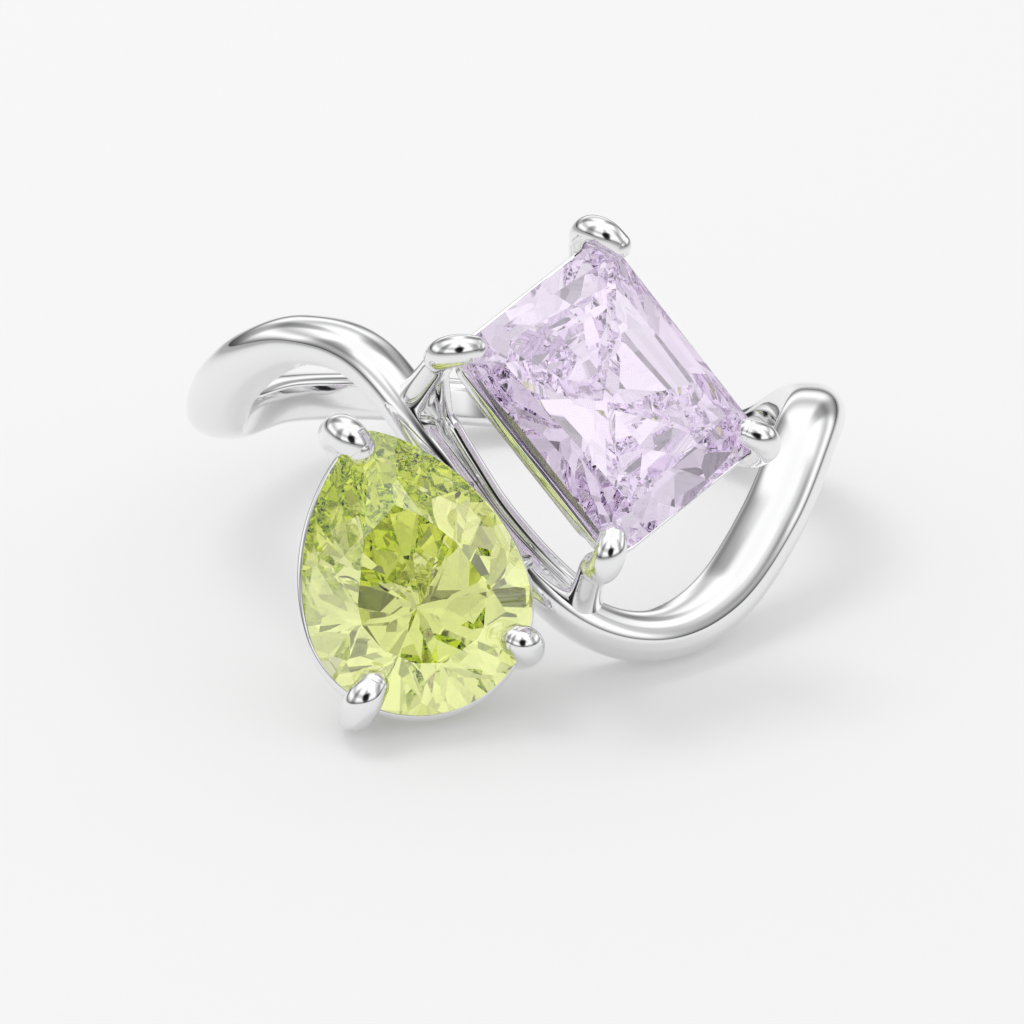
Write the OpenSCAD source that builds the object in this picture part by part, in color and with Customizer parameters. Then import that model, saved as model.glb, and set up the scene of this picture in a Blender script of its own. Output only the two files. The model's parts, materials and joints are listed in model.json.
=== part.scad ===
// Toi et moi ring: one band that sweeps over the finger in a wave, with a pear stone set under its
// crest and a radiant stone set over its trough. Millimetres, +Z up, lying on its side as it rests.
// The ring is drawn with the finger hole along Z and the stones towards -Y, and rest_pose() lays it down.

/* [Band] */
// Inside diameter, across the finger hole
finger_d = 17; // [15:0.5:21]
// Thickness of the band, from the finger outwards
band_t = 1.9; // [1.5:0.1:2.4]
// Width of the band across its path
band_w = 1.6; // [1.3:0.1:2.1]
// Height of the wave, from the crest to the trough
sweep_h = 8; // [7:0.25:9]

/* [Pear stone] */
// Length, from the tip to the round end
pear_l = 8.9; // [8:0.1:9.8]
// Width at the widest place
pear_w = 6.9; // [6.2:0.1:7.5]
// Height of the crown, from the girdle to the table
pear_crown = 1; // [0.7:0.1:1.3]
// Depth of the pavilion, from the girdle to the culet
pear_pavilion = 2.9; // [2.4:0.1:3]
// Distance from the finger hole's wall out to the middle of the girdle
pear_standoff = 3.7; // [3.6:0.1:4.4]
// Thickness of the claws that hold it
pear_claw_d = 1.1; // [0.9:0.05:1.3]

/* [Radiant stone] */
// Length of the long sides, corner to corner
radiant_l = 7.9; // [7.2:0.1:8.6]
// Width across the short sides, corner to corner
radiant_w = 6.2; // [5.6:0.1:6.8]
// Length of the flat across each cut corner, along each side
radiant_cut = 0.45; // [0.3:0.05:0.7]
// Height of the crown, from the girdle to the table
radiant_crown = 0.9; // [0.7:0.1:1.2]
// Depth of the pavilion, from the girdle to the culet
radiant_pavilion = 2.8; // [2.3:0.1:3]
// Distance from the finger hole's wall out to the middle of the girdle
radiant_standoff = 3.8; // [3.6:0.1:4.4]
// Thickness of the claws that hold it
radiant_claw_d = 0.95; // [0.8:0.05:1.15]

/* [Settings] */
// Thickness of the girdle of both stones
girdle_t = 0.25; // [0.15:0.05:0.4]
// Thickness of the wire of the gallery rails
rail_d = 0.5; // [0.4:0.05:0.65]
// Clearance between a stone and the metal it is seated in
seat_gap = 0.03; // [0.02:0.01:0.06]

/* [Hidden] */

METAL = "silver";
PEAR_COLOUR = [0.78, 0.85, 0.30];
RADIANT_COLOUR = [0.85, 0.76, 0.92];

finger_r = finger_d / 2;
// The band's section reaches this far inside the finger hole, and the hole then cuts it true
band_sink = 0.15;
band_mid_r = finger_r + (band_t - band_sink) / 2;
band_half_t = (band_t + band_sink) / 2;

// Columns of the wave: angle round the finger from the front, height as a share of sweep_h,
// width as a share of band_w
ANGLE = 0;
HEIGHT = 1;
WIDTH = 2;
WAVE = [
    [-180, 0, 0.95],
    [-150, 0.005, 0.96],
    [-125, -0.005, 0.98],
    [-105, -0.045, 1.0],
    [-90, -0.01, 1.0],
    [-75, 0.13, 1.0],
    [-60, 0.267, 0.98],
    [-45, 0.353, 0.96],
    [-30, 0.3, 0.94],
    [-15, 0.004, 0.92],
    [0, -0.357, 0.92],
    [15, -0.609, 0.95],
    [30, -0.662, 1.0],
    [45, -0.532, 1.04],
    [60, -0.236, 1.08],
    [75, 0.085, 1.12],
    [90, 0.156, 1.14],
    [105, 0.13, 1.1],
    [125, 0, 1.02],
    [150, 0, 0.97],
    [180, 0, 0.95],
];
BAND_RINGS = 100;
BAND_SIDES = 20;
// 2 is an ellipse, and a larger power a squarer section
BAND_SQUARENESS = 2.5;

// A stone's seat: angle round the finger, distance out from the finger's axis, height,
// lean of its face to the side and upwards, and turn in its own plane
PEAR_ANGLE = -12.4;
PEAR_HEIGHT_SHARE = -0.573;
PEAR_SIDE_LEAN = 6.7;
PEAR_UP_LEAN = 13.3;
PEAR_TURN = 20.4;
RADIANT_ANGLE = 12.2;
RADIANT_HEIGHT_SHARE = 0.276;
RADIANT_SIDE_LEAN = 16.1;
RADIANT_UP_LEAN = 19;
RADIANT_TURN = -50.7;

// Pear outline: share of its length below the widest place, and how full its flanks are
PEAR_END_SHARE = 0.371;
PEAR_FLANK = 0.77;
PEAR_FLANK_POINTS = 6;
PEAR_END_POINTS = 11;
// Columns of the pear's claws, one at the tip and one on each side of the round end: place round the
// outline, aim outwards, shift sideways and towards the tip as shares of the claw's thickness, and reach
PLACE = 0;
AIM = 1;
SHIFT_X = 2;
SHIFT_Y = 3;
REACH = 4;
// The radiant's claws have the same columns, but their place is a corner, counted counterclockwise from
// the one where both of its directions are positive
CORNERS = [[1, 1], [-1, 1], [-1, -1], [1, -1]];
RADIANT_CLAWS = [
    [0, 26, 0, 0, 1],
    [1, 162, -0.05, 0, 1],
    [2, 232, -0.42, -0.23, 1],
    [3, -50, 0, -0.3, 1.1],
];
PEAR_TIP = 90;
PEAR_CLAWS = [
    [PEAR_TIP, 115, -0.4, -0.12, 0.9],
    [-42, -43, 0, 0, 0.5],
    [222, 222, 0, 0, 1],
];
LOW_CLAW = 2;

// Columns of a cut: size as a share of the girdle, height as a share of the crown if above the girdle
// and of the pavilion if below
SIZE = 0;
RISE = 1;
PEAR_CROWN = [[0.82, 0.6], [0.56, 1]];
PEAR_PAVILION = [[0.74, 0.33], [0.36, 0.76], [0.03, 1]];
RADIANT_CROWN = [[0.86, 0.6], [0.66, 1]];
RADIANT_PAVILION = [[0.8, 0.33], [0.5, 0.7], [0.04, 1]];

// Columns of a claw, from under the girdle to its tip: distance outwards from the girdle and
// height above it, as shares of the claw's thickness, and its own thickness as a share
OUT = 0;
UP = 1;
THICK = 2;
CLAW = [
    [0.24, -0.9, 0.98],
    [0.4, -0.2, 1.02],
    [0.36, 0.4, 1.04],
    [0.06, 0.74, 1.02],
    [-0.34, 0.7, 0.92],
];
CLAW_STEPS = 3;
// The step of a claw's path that is level with the upper rail
TIE_STEP = 5;
// The leg is a little thinner at its foot, and stands this far through the band's thickness
LEG_THICK = 0.9;
FOOT_DEPTH = 0.6;
WIRE_SIDES = 10;
CAP_RINGS = 3;

// Gallery rails: how far under the girdle and how far in, as shares of the rail's thickness
UPPER_RAIL_DROP = 0.95;
UPPER_RAIL_INSET = 0.25;
// Lower rails, as shares of each stone's pavilion and width
PEAR_LOWER_DROP = 0.72;
PEAR_LOWER_SIZE = 0.68;
RADIANT_LOWER_DROP = 0.7;
RADIANT_LOWER_SIZE = 0.8;

// Where the settings stand on the band: angle round the finger, and place across the band as a share
// of its half width, towards the radiant stone if positive
RADIANT_FEET = [-19.5, 12.5];
FOOT_ACROSS = 0.55;
BASE_RAIL_ACROSS = 0.96;
BASE_RAIL_POINTS = 14;
// The base rail lies this far in from the band's outer face, as a share of its thickness
BASE_RAIL_SINK = 0.22;
PEAR_POSTS = [[-9, 0.25], [3, 0.5]];

function lerp(a, b, t) = a + (b - a) * t;
function unit(v) = v / norm(v);
function signed_power(v, p) = sign(v) * pow(abs(v), p);

// Cubic through four values at four places, for a place between the middle two
function cubic(v, x, at) =
    let (
        span = x[2] - x[1],
        t = (at - x[1]) / span,
        m1 = (v[2] - v[0]) / (x[2] - x[0]) * span,
        m2 = (v[3] - v[1]) / (x[3] - x[1]) * span
    )
    (2 * t ^ 3 - 3 * t ^ 2 + 1) * v[1] + (t ^ 3 - 2 * t ^ 2 + t) * m1
    + (3 * t ^ 2 - 2 * t ^ 3) * v[2] + (t ^ 3 - t ^ 2) * m2;

// A column of the wave at any angle, where the row before the first is the last but one
wave_rows = len(WAVE) - 1;
function wave_row(i) =
    i < 0 ? WAVE[i + wave_rows] - [360, 0, 0]
    : i > wave_rows ? WAVE[i - wave_rows] + [360, 0, 0]
    : WAVE[i];
function wave_at(any_angle, column) =
    let (
        angle = any_angle - 360 * floor((any_angle + 180) / 360),
        i = max([for (k = [0 : len(WAVE) - 2]) if (WAVE[k][ANGLE] <= angle) k]),
        rows = [for (k = [-1 : 2]) wave_row(i + k)]
    )
    cubic([for (r = rows) r[column]], [for (r = rows) r[ANGLE]], angle);

function out_at(angle) = [sin(angle), -cos(angle), 0];
function path_at(angle, r) = r * out_at(angle) + [0, 0, sweep_h * wave_at(angle, HEIGHT)];
function path_tangent(angle, r) = unit(path_at(angle + 0.5, r) - path_at(angle - 0.5, r));
// Direction across the band, towards the radiant stone's side
function across_at(angle) = unit(cross(out_at(angle), path_tangent(angle, band_mid_r)));
function band_width_at(angle) = band_w * wave_at(angle, WIDTH);
// A point on the band: distance from the finger's axis, and place across as a share of its half width
function band_point(angle, r, across) =
    path_at(angle, r) + across_at(angle) * across * band_width_at(angle) / 2;

// One ring of points round a centre, from two directions and a section in them
function placed(centre, u, v, section) = [for (s = section) centre + u * s[0] + v * s[1]];
function round_section(r) =
    [for (k = [0 : WIRE_SIDES - 1]) let (a = 360 * k / WIRE_SIDES) [r * cos(a), r * sin(a)]];
function band_section(half_t, half_w) = [
    for (k = [0 : BAND_SIDES - 1])
        let (a = 360 * (k + 0.5) / BAND_SIDES)
        [
            half_t * signed_power(cos(a), 2 / BAND_SQUARENESS),
            half_w * signed_power(sin(a), 2 / BAND_SQUARENESS),
        ]
];
BAND_RING_POINTS = [
    for (i = [0 : BAND_RINGS - 1])
        let (a = -180 + 360 * i / BAND_RINGS)
        placed(
            path_at(a, band_mid_r), out_at(a), -across_at(a),
            band_section(band_half_t, band_width_at(a) / 2)
        )
];

// Solid through rings of as many points each, closed on itself or with flat ends
module skin(rings, closed = false) {
    n = len(rings[0]);
    m = len(rings);
    walls = [
        for (i = [0 : closed ? m - 1 : m - 2], k = [0 : n - 1])
            let (j = (i + 1) % m, l = (k + 1) % n)
            [i * n + k, j * n + k, j * n + l, i * n + l]
    ];
    ends = closed ? [] : [[for (k = [0 : n - 1]) k], [for (k = [n - 1 : -1 : 0]) (m - 1) * n + k]];
    polyhedron([for (r = rings) each r], concat(walls, ends));
}

// Smooth curve through points, with as many steps between each two
function curve_point(p, i, t) =
    let (
        a = p[max(i - 1, 0)],
        b = p[i],
        c = p[i + 1],
        d = p[min(i + 2, len(p) - 1)]
    )
    0.5 * (2 * b + (c - a) * t + (2 * a - 5 * b + 4 * c - d) * t ^ 2 + (3 * b - a - 3 * c + d) * t ^ 3);
function curve(p, steps) = [
    for (i = [0 : len(p) - 2], k = [0 : steps - 1]) curve_point(p, i, k / steps),
    p[len(p) - 1],
];
function tangent_at(p, i) = unit(p[min(i + 1, len(p) - 1)] - p[max(i - 1, 0)]);

// Round wire along points that lie near a plane, with round ends; flat_to is across that plane
module wire(points, radii, flat_to) {
    last = len(points) - 1;
    function at(c, t, r) =
        let (u = unit(cross(flat_to, t)))
        placed(c, u, cross(t, u), round_section(r));
    function cap(i, way) = [
        for (k = [1 : CAP_RINGS])
            let (a = 90 * k / (CAP_RINGS + 0.4), t = tangent_at(points, i))
            at(points[i] + way * t * radii[i] * sin(a), t, radii[i] * cos(a))
    ];
    start = cap(0, -1);
    skin(concat(
        [for (k = [CAP_RINGS - 1 : -1 : 0]) start[k]],
        [for (i = [0 : last]) at(points[i], tangent_at(points, i), radii[i])],
        cap(last, 1)
    ));
}

// Closed round wire in a plane whose normal is flat_to
module loop_wire(points, r, flat_to) {
    n = len(points);
    skin([
        for (i = [0 : n - 1])
            let (t = unit(points[(i + 1) % n] - points[(i + n - 1) % n]))
            placed(points[i], unit(cross(flat_to, t)), flat_to, round_section(r))
    ], closed = true);
}

// Stone frames: x and y in the girdle plane, z towards the table
function seat(angle, r, height, side_lean, up_lean, turn) =
    let (
        right = [cos(side_lean), sin(side_lean), 0],
        face = [sin(side_lean) * cos(up_lean), -cos(side_lean) * cos(up_lean), sin(up_lean)],
        up = cross(face, right)
    )
    [
        r * out_at(angle) + [0, 0, height],
        right * cos(turn) + up * sin(turn),
        up * cos(turn) - right * sin(turn),
        face,
    ];
function from_seat(s, p) = s[0] + s[1] * p[0] + s[2] * p[1] + s[3] * p[2];
PEAR_SEAT = seat(
    PEAR_ANGLE, finger_r + pear_standoff, PEAR_HEIGHT_SHARE * sweep_h,
    PEAR_SIDE_LEAN, PEAR_UP_LEAN, PEAR_TURN
);
RADIANT_SEAT = seat(
    RADIANT_ANGLE, finger_r + radiant_standoff, RADIANT_HEIGHT_SHARE * sweep_h,
    RADIANT_SIDE_LEAN, RADIANT_UP_LEAN, RADIANT_TURN
);

// Pear outline in its plane, tip towards +y and the widest place at y 0, counterclockwise from the tip
pear_end = pear_l * PEAR_END_SHARE;
pear_top = pear_l - pear_end;
function pear_flank(k) =
    let (a = 90 - 90 * k / (PEAR_FLANK_POINTS + 1))
    [pear_w / 2 * pow(cos(a), 2 * PEAR_FLANK), pear_top * sin(a)];
PEAR_OUTLINE = concat(
    [for (k = [0 : PEAR_FLANK_POINTS]) let (p = pear_flank(k)) [-p[0], p[1]]],
    [
        for (k = [0 : PEAR_END_POINTS])
            let (a = 180 + 180 * k / PEAR_END_POINTS)
            [pear_w / 2 * cos(a), pear_end * sin(a)]
    ],
    [for (k = [PEAR_FLANK_POINTS : -1 : 1]) pear_flank(k)]
);
// Radiant outline: a rectangle with cut corners, counterclockwise
RADIANT_OUTLINE =
    let (a = radiant_l / 2, b = radiant_w / 2, c = radiant_cut)
    [[a, b - c], [a - c, b], [c - a, b], [-a, b - c], [-a, c - b], [c - a, -b], [a - c, -b], [a, c - b]];

// A cut stone, grown by a clearance where the metal is hollowed for it
module stone(s, outline, crown_rows, pavilion_rows, crown, pavilion, half_w, grow) {
    swell = 1 + grow / half_w;
    edge = girdle_t / 2 + grow;
    function layer(size, z) = [for (p = outline) from_seat(s, [p[0] * size * swell, p[1] * size * swell, z])];
    skin(concat(
        [
            for (k = [len(pavilion_rows) - 1 : -1 : 0])
                layer(pavilion_rows[k][SIZE], -edge - pavilion * pavilion_rows[k][RISE])
        ],
        [layer(1, -edge), layer(1, edge)],
        [for (row = crown_rows) layer(row[SIZE], edge + crown * row[RISE])]
    ));
}
module pear_body(grow = 0) {
    stone(
        PEAR_SEAT, PEAR_OUTLINE, PEAR_CROWN, PEAR_PAVILION,
        pear_crown, pear_pavilion, pear_w / 2, grow
    );
}
module radiant_body(grow = 0) {
    stone(
        RADIANT_SEAT, RADIANT_OUTLINE, RADIANT_CROWN, RADIANT_PAVILION,
        radiant_crown, radiant_pavilion, radiant_w / 2, grow
    );
}

// A claw over the girdle; its leg runs down to a foot in the ring's frame
function claw_path(s, edge, row, d, foot) =
    let (
        away = [cos(row[AIM]), sin(row[AIM]), 0],
        place = [edge[0] + row[SHIFT_X] * d, edge[1] + row[SHIFT_Y] * d, 0]
    )
    curve(
        concat([foot], [
            for (c = CLAW) from_seat(s, place + away * c[OUT] * row[REACH] * d + [0, 0, c[UP] * d])
        ]),
        CLAW_STEPS
    );
function claw_radii(d) =
    [for (t = curve(concat([[LEG_THICK]], [for (c = CLAW) [c[THICK]]]), CLAW_STEPS)) t[0] * d / 2];
module claw(s, path, aim, d) {
    wire(path, claw_radii(d), s[2] * cos(aim) - s[1] * sin(aim));
}

// Rails follow a stone's outline at a size and a depth under its girdle
function rail_points(s, outline, size, drop) =
    [for (p = outline) from_seat(s, [p[0] * size, p[1] * size, -drop])];
upper_drop = girdle_t / 2 + rail_d * UPPER_RAIL_DROP / 2;
function upper_size(half_w) = 1 - rail_d * UPPER_RAIL_INSET / half_w;

function pear_edge(c) =
    c[PLACE] == PEAR_TIP ? [0, pear_top] : [pear_w / 2 * cos(c[PLACE]), pear_end * sin(c[PLACE])];
pear_lower_drop = pear_pavilion * PEAR_LOWER_DROP;
function pear_foot(c) =
    let (p = pear_edge(c) * PEAR_LOWER_SIZE)
    from_seat(PEAR_SEAT, [p[0], p[1], -pear_lower_drop]);
function pear_claw_path(c) = claw_path(PEAR_SEAT, pear_edge(c), c, pear_claw_d, pear_foot(c));
PEAR_UPPER_RAIL = rail_points(PEAR_SEAT, PEAR_OUTLINE, upper_size(pear_w / 2), upper_drop);
PEAR_LOWER_RAIL = rail_points(PEAR_SEAT, PEAR_OUTLINE, PEAR_LOWER_SIZE, pear_lower_drop);

function radiant_edge(c) =
    let (signs = CORNERS[c[PLACE]])
    [signs[0] * (radiant_l - radiant_cut) / 2, signs[1] * (radiant_w - radiant_cut) / 2];
radiant_lower_drop = radiant_pavilion * RADIANT_LOWER_DROP;
// Two of its legs stand on the band, and two on the lower rail
foot_r = finger_r + band_t * FOOT_DEPTH;
function stands_on_band(c) = c[PLACE] >= 2;
function radiant_foot(c) =
    stands_on_band(c) ? band_point(RADIANT_FEET[c[PLACE] - 2], foot_r, FOOT_ACROSS)
    : let (p = radiant_edge(c) * RADIANT_LOWER_SIZE)
    from_seat(RADIANT_SEAT, [p[0], p[1], -radiant_lower_drop]);
function radiant_claw_path(c) =
    claw_path(RADIANT_SEAT, radiant_edge(c), c, radiant_claw_d, radiant_foot(c));
RADIANT_UPPER_RAIL = rail_points(RADIANT_SEAT, RADIANT_OUTLINE, upper_size(radiant_w / 2), upper_drop);
RADIANT_LOWER_RAIL = rail_points(RADIANT_SEAT, RADIANT_OUTLINE, RADIANT_LOWER_SIZE, radiant_lower_drop);

// Resting: the surface touches the pear's outer low claw, the trough and the back of the band.
// Each pass takes the lowest point of each along the last pass's upward direction.
low_claw = pear_claw_path(PEAR_CLAWS[LOW_CLAW]);
low_claw_r = claw_radii(pear_claw_d);
TROUGH = [for (i = [BAND_RINGS / 2 : 3 * BAND_RINGS / 4]) each BAND_RING_POINTS[i]];
BACK = [
    for (i = [0 : BAND_RINGS / 6])
        each concat(BAND_RING_POINTS[i], BAND_RING_POINTS[BAND_RINGS - 1 - i])
];
function lowest(points, up) = let (h = [for (p = points) p * up]) points[search(min(h), h)[0]];
function plane_up(a, b, c) = let (v = unit(cross(b - a, c - a))) v[2] < 0 ? -v : v;
function settle(up, passes) =
    passes == 0 ? up
    : settle(
        plane_up(
            lowest([for (i = [0 : len(low_claw) - 1]) low_claw[i] - up * low_claw_r[i]], up),
            lowest(TROUGH, up),
            lowest(BACK, up)
        ),
        passes - 1
    );
rest_up = settle(unit([0, -0.3, 1]), 6);
rest_x = unit(cross([0, 1, 0], rest_up));
rest_y = cross(rest_up, rest_x);
module rest_pose() {
    multmatrix([for (v = [rest_x, rest_y, rest_up]) [v[0], v[1], v[2], 0]]) children();
}

module band() {
    skin(BAND_RING_POINTS, closed = true);
}

module pear_setting() {
    for (c = PEAR_CLAWS) claw(PEAR_SEAT, pear_claw_path(c), c[AIM], pear_claw_d);
    loop_wire(PEAR_UPPER_RAIL, rail_d / 2, PEAR_SEAT[3]);
    loop_wire(PEAR_LOWER_RAIL, rail_d / 2, PEAR_SEAT[3]);
    // Short posts carry it on the band, under the stone's flank
    for (post = PEAR_POSTS) {
        foot = band_point(post[0], foot_r, post[1]);
        gaps = [for (p = PEAR_UPPER_RAIL) norm(p - foot)];
        wire([foot, PEAR_UPPER_RAIL[search(min(gaps), gaps)[0]]], [rail_d / 2, rail_d / 2], PEAR_SEAT[2]);
    }
}

module radiant_setting() {
    for (c = RADIANT_CLAWS) claw(RADIANT_SEAT, radiant_claw_path(c), c[AIM], radiant_claw_d);
    loop_wire(RADIANT_UPPER_RAIL, rail_d / 2, RADIANT_SEAT[3]);
    loop_wire(RADIANT_LOWER_RAIL, rail_d / 2, RADIANT_SEAT[3]);
    // The two legs that stand on the band pass outside the corners, so short ties join the upper rail to them
    for (c = RADIANT_CLAWS)
        if (stands_on_band(c)) {
            corner = (RADIANT_UPPER_RAIL[2 * c[PLACE]] + RADIANT_UPPER_RAIL[2 * c[PLACE] + 1]) / 2;
            wire([corner, radiant_claw_path(c)[TIE_STEP]], [rail_d / 2, rail_d / 2], RADIANT_SEAT[3]);
        }
    // The base rail is soldered along the band's edge between the two feet
    wire(
        [
            for (k = [0 : BASE_RAIL_POINTS])
                band_point(
                    lerp(RADIANT_FEET[0], RADIANT_FEET[1], k / BASE_RAIL_POINTS),
                    finger_r + band_t * (1 - BASE_RAIL_SINK),
                    BASE_RAIL_ACROSS
                )
        ],
        [for (k = [0 : BASE_RAIL_POINTS]) rail_d / 2],
        out_at(0)
    );
}

// Everything of metal is soldered into one body, and the finger hole is bored last
module band_and_settings() {
    color(METAL) rest_pose() difference() {
        resize([0, 0, 0]) difference() {
            union() {
                band();
                pear_setting();
                radiant_setting();
            }
            pear_body(seat_gap);
            radiant_body(seat_gap);
        }
        translate([0, 0, -sweep_h * 2]) cylinder(r = finger_r, h = sweep_h * 4, $fn = 180);
    }
}

module pear_stone() {
    color(PEAR_COLOUR) rest_pose() pear_body();
}

module radiant_stone() {
    color(RADIANT_COLOUR) rest_pose() radiant_body();
}

band_and_settings();
pear_stone();
radiant_stone();
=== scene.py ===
# Toi et moi ring: the looks of its polished metal and its two cut stones, on a pale floor under soft light.
# The metal and the stones are drawn in the ring's own frame in millimetres, with the finger hole along Z
# and the stones towards -Y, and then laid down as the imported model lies.
import json
import math
import random

import bmesh
import bpy
import numpy as np
from mathutils import Matrix, Vector


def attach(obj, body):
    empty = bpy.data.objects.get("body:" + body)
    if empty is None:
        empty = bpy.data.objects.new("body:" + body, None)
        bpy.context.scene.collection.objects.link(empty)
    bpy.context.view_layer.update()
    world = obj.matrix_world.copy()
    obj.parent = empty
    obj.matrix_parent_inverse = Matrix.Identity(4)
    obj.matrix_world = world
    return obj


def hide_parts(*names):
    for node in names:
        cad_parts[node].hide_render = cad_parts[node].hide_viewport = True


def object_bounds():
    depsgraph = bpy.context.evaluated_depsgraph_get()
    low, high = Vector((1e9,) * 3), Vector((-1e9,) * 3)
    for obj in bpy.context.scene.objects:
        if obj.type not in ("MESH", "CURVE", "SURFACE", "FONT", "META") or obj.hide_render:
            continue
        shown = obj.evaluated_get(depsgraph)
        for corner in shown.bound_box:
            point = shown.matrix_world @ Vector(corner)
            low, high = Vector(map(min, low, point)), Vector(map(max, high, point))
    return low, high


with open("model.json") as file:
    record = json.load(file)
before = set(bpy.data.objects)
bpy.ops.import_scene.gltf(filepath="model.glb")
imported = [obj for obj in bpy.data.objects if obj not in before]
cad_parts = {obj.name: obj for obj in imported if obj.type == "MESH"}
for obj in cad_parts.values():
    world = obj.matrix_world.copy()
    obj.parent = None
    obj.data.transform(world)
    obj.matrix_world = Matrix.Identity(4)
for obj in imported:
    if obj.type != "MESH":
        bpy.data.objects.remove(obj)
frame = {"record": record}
CAD_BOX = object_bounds()
MM = 0.001

# Band, in millimetres
FINGER_R = 8.5
BAND_T = 1.9
BAND_W = 1.6
SWEEP_H = 8.0
# The section reaches this far inside the finger hole, whose wall then trims it
BAND_SINK = 0.15
BAND_MID_R = FINGER_R + (BAND_T - BAND_SINK) / 2
# Powers of the section's halves: 2 is an ellipse, and a larger power a squarer half
OUTER_SQUARENESS = 2.15
INNER_SQUARENESS = 3.0
BAND_RINGS = 420
BAND_SIDES = 56
# Radius that softens the edge where the finger hole meets the band's sides
INNER_EDGE = 0.06
# The band's direction is taken between points this many degrees to each side
PATH_STEP = 0.5
# Wave of the band: angle round the finger, height as a share of SWEEP_H, width as a share of BAND_W
WAVE = (
    (-180, 0.0, 0.95),
    (-150, 0.005, 0.96),
    (-125, -0.005, 0.98),
    (-105, -0.045, 1.0),
    (-90, -0.01, 1.0),
    (-75, 0.13, 1.0),
    (-60, 0.267, 0.98),
    (-45, 0.353, 0.96),
    (-30, 0.3, 0.94),
    (-15, 0.004, 0.92),
    (0, -0.357, 0.92),
    (15, -0.609, 0.95),
    (30, -0.662, 1.0),
    (45, -0.532, 1.04),
    (60, -0.236, 1.08),
    (75, 0.085, 1.12),
    (90, 0.156, 1.14),
    (105, 0.13, 1.1),
    (125, 0.0, 1.02),
    (150, 0.0, 0.97),
    (180, 0.0, 0.95),
)

# Stones, in millimetres
GIRDLE_T = 0.25
PEAR_L = 8.9
PEAR_W = 6.9
PEAR_CROWN = 1.0
PEAR_PAVILION = 2.9
PEAR_STANDOFF = 3.7
# Share of the pear's length below its widest place, and how full its flanks are
PEAR_END_SHARE = 0.371
PEAR_FLANK = 0.77
PEAR_END = PEAR_L * PEAR_END_SHARE
PEAR_TOP = PEAR_L - PEAR_END
PEAR_POINTS = 180
# The pear's facets face out of its outline as it runs between points this many degrees to each side
OUTLINE_STEP = 0.05
RADIANT_L = 7.9
RADIANT_W = 6.2
RADIANT_CUT = 0.45
RADIANT_CROWN = 0.9
RADIANT_PAVILION = 2.8
RADIANT_STANDOFF = 3.8
# The radiant's inner outline: 2 is an ellipse, and a larger power squarer
RADIANT_INNER_SQUARENESS = 4
RADIANT_INNER_POINTS = 120
# Seats: angle round the finger, distance out from the finger's axis, height, lean of the stone's face to the
# side and upwards, and turn in its own plane
PEAR_PLACE = (-12.4, FINGER_R + PEAR_STANDOFF, -0.573 * SWEEP_H, 6.7, 13.3, 20.4)
RADIANT_PLACE = (12.2, FINGER_R + RADIANT_STANDOFF, 0.276 * SWEEP_H, 16.1, 19, -50.7)

# Rows of facets: how many, turn as a share of their spacing, and then size as a share of the girdle and
# height as a share of the crown, or of the pavilion if negative, where a row starts and where it ends
PEAR_FACETS = (
    (8, 0, 1, 0, 0.56, 1),
    (16, 0.5, 1, 0, 0.8, 0.64),
    (8, 0.5, 0.79, 0.66, 0.54, 1),
    (24, 0.5, 1, 0, 0.8, -0.25),
    (22, 0, 0.9, -0.11, 0.6, -0.44),
    (20, 0.3, 0.74, -0.27, 0.4, -0.63),
    (18, 0.6, 0.56, -0.46, 0.24, -0.8),
    (12, 0.5, 0.38, -0.64, 0.1, -0.93),
    (8, 0.5, 0.22, -0.8, 0, -1.02),
)
RADIANT_FACETS = (
    (4, 0, 1, 0, 0.86, 0.6),
    (4, 0, 0.86, 0.6, 0.66, 1),
    (4, 0.42, 1, 0, 0.8, 0.9),
    (4, 0.58, 1, 0, 0.8, 0.9),
    (4, 0.03, 1, 0, 0.84, -0.24),
    (8, 0.25, 1, 0, 0.8, -0.27),
    (8, 0.75, 1, 0, 0.8, -0.27),
    (16, 0.3, 0.98, -0.03, 0.7, -0.36),
    (22, 0.25, 0.95, -0.06, 0.6, -0.45),
    (26, 0.75, 0.84, -0.18, 0.5, -0.58),
    (24, 0.5, 0.7, -0.33, 0.34, -0.73),
    (22, 0.25, 0.54, -0.5, 0.2, -0.86),
    (16, 0.5, 0.38, -0.66, 0.06, -0.97),
    (10, 0.1, 0.22, -0.81, 0, -1.02),
)
# Rows of facets that start at this share of the girdle or nearer the middle follow the inner outline
INNER_FROM = 0.85
# A cutter's hand turns a facet by up to so many degrees, and changes its slope by up to so large a share. The
# last number seeds it.
PEAR_HAND = (6, 0.09, 4)
RADIANT_HAND = (10, 0.12, 9)
# A point this close to a facet's plane counts as on it
CUT_DIST = 1e-6
# A face whose normal rises less than this belongs to the girdle
UPRIGHT = 0.05

# Settings, in millimetres
RAIL_D = 0.5
PEAR_CLAW_D = 1.1
RADIANT_CLAW_D = 0.95
WIRE_SIDES = 28
CAP_RINGS = 9
# A wire's round end stops this part of a step short of its pole
CAP_SHORT = 0.25
# A claw from under the girdle to its tip: outwards, upwards and thickness, as shares of its thickness
CLAW = (
    (0.24, -0.9, 0.98),
    (0.4, -0.2, 1.02),
    (0.36, 0.4, 1.04),
    (0.06, 0.74, 1.02),
    (-0.34, 0.7, 0.92),
)
CLAW_STEPS = 14
LEG_THICK = 0.9
# A foot on the band is wider by this share, over so many steps of the leg
BAND_FLARE = 0.45
FLARE_STEPS = 11
# The pear's claws: place round the outline in degrees with the tip at 90, aim, shift and reach
PEAR_CLAWS = (
    (90, 115, (-0.5, -0.2), 0.95),
    (-42, -43, (0, 0.18), 0.5),
    (222, 222, (0.1, 0.02), 1.0),
)
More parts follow.
